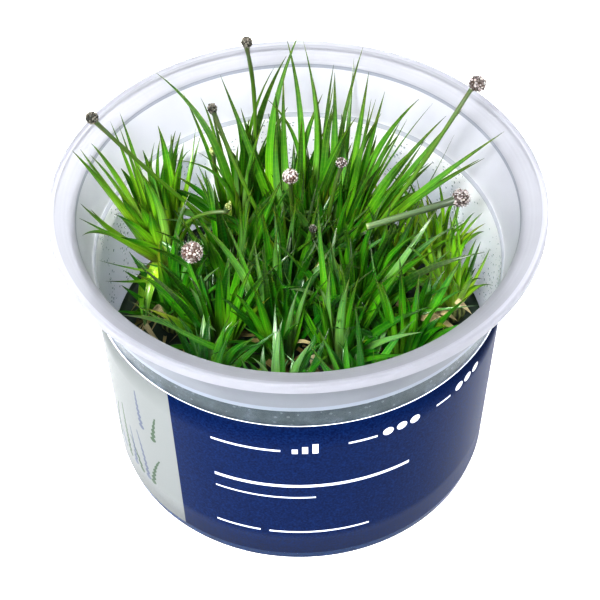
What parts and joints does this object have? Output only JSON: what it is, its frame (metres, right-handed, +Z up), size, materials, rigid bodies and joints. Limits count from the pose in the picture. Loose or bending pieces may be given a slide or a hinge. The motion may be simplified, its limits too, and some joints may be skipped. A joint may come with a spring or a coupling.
{
  "type": "potted tissue culture eriocaulon cinereum",
  "caption": "Frosted tub with a wrap-around label, a bed of gel and a crowd of narrow-leaved aquarium rosettes with button flower heads on stalks.",
  "frame": {"origin": "centre of the foot of the tub, on the plane it stands on", "axes": "+Z up, out of the mouth of the tub; -Y towards the printed front of the label; +X to the right of it"},
  "size_m": [0.1, 0.1, 0.0872],
  "materials": {
    "tub": "frosted translucent",
    "label": "satin print",
    "culture_gel": "wet gel",
    "leaf": "satin leaf",
    "leaf_light": "satin leaf",
    "flower_dark": "matte",
    "flower_pale": "matte",
    "flower_bud": "matte",
    "flower_stalk": "satin"
  },
  "bodies": {
    "root": {"tub": "tub", "label": "label", "culture_gel": "culture_gel", "rosette_left": "leaf_light", "rosette_left_back": "leaf", "rosette_back": "leaf", "rosette_right_back": "leaf", "rosette_right": "leaf", "rosette_front": "leaf", "rosette_front_left": "leaf", "rosette_front_right": "leaf", "rosette_middle": "leaf", "rosette_right_small": "leaf_light", "rosette_right_low": "leaf_light", "rosette_right_middle": "leaf_light", "rosette_front_side": "leaf", "rosette_left_side": "leaf", "rosette_centre": "leaf", "rosette_near_left": "leaf", "rosette_near": "leaf", "rosette_near_right": "leaf", "flower_head_tall": "flower_dark", "flower_head_far_left": "flower_dark", "flower_head_back_left": "flower_dark", "flower_head_far_right": "flower_dark", "flower_head_middle": "flower_pale", "flower_head_right": "flower_pale", "flower_head_loose": "flower_pale", "flower_head_front_left": "flower_pale", "flower_bud_front": "flower_bud", "flower_bud_pale": "flower_bud", "flower_bud_green": "flower_bud", "loose_flower_stalk": "flower_stalk"}
  },
  "joints": []
}
